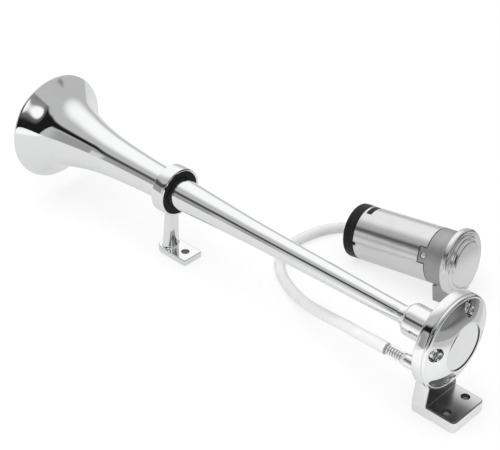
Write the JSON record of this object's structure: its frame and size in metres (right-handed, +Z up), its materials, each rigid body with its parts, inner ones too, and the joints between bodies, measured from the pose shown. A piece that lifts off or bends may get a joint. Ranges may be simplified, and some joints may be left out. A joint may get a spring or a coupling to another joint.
{
  "type": "air horn",
  "caption": "Chrome trumpet air horn with a flared bell, a sound head on a bolted foot and a front clamp, joined by a translucent hose to its electric vane compressor.",
  "frame": {"origin": "centre of the rear foot's two-hole pattern, on the plane the horn is bolted to", "axes": "+Y along the horn from the sound head to the bell, +Z up from the mounting plane, +X towards the compressor"},
  "size_m": [0.1914, 0.4416, 0.106],
  "materials": {
    "chrome": "mirror-polished plating",
    "zinc_screw": "bright zinc plating",
    "can_steel": "bright drawn steel",
    "dark_steel": "plain stamped or ground",
    "casting": "satin die casting",
    "black_plastic": "fine matt moulding",
    "carbon": "pressed carbon",
    "black_rubber": "matt",
    "clear_hose": "milky translucent",
    "copper": "enamelled or turned copper",
    "bronze": "sintered bronze or brass",
    "ferrite": "ground ferrite",
    "felt": "pressed felt"
  },
  "bodies": {
    "fixed": {"trumpet": "chrome", "trumpet_seal": "black_rubber", "head_body": "chrome", "rear_cover": "chrome", "cover_screws": "zinc_screw", "front_gasket": "black_rubber", "rear_gasket": "black_rubber", "inlet_barb": "chrome", "clamp_grommet": "black_rubber", "pump_body": "casting", "pump_cover": "chrome", "cover_ring": "black_rubber", "pump_plate": "dark_steel", "pump_screws": "zinc_screw", "stator_ring": "dark_steel", "intake_felt": "felt", "outlet_nipple": "chrome", "can_screws": "zinc_screw", "front_bearing": "dark_steel", "motor_plate": "dark_steel", "motor_can": "can_steel", "magnets": "ferrite", "magnet_clips": "dark_steel", "brushes": "carbon", "brush_springs": "dark_steel", "brush_holders": "bronze", "rear_bush": "bronze", "end_cap": "black_plastic", "terminals": "bronze", "air_hose": "clear_hose"},
    "rotor": {"pump_rotor": "bronze", "vanes": "carbon", "motor_shaft": "dark_steel", "armature_core": "dark_steel", "windings": "copper", "commutator": "copper", "thrust_washers": "dark_steel"},
    "clamp": {"front_clamp": "chrome"},
    "diaphragm_plate": {"diaphragm": "dark_steel"}
  },
  "joints": [
    {"name": "rotor_spin", "type": "hinge", "parent": "fixed", "child": "rotor", "pos_m": [0.10716, 0.13263, 0.02745], "axis": [-0.0692, 0.9898, -0.1242], "continuous": true},
    {"name": "clamp_turn", "type": "hinge", "parent": "fixed", "child": "clamp", "pos_m": [0, 0.282, 0.06], "axis": [0, 1, 0], "range_deg": [-90, 90]},
    {"name": "diaphragm_lift", "type": "slide", "parent": "fixed", "child": "diaphragm_plate", "axis": [0, -1, 0], "range_m": [0, 0.0004], "stiffness_N_per_m": 20000}
  ]
}
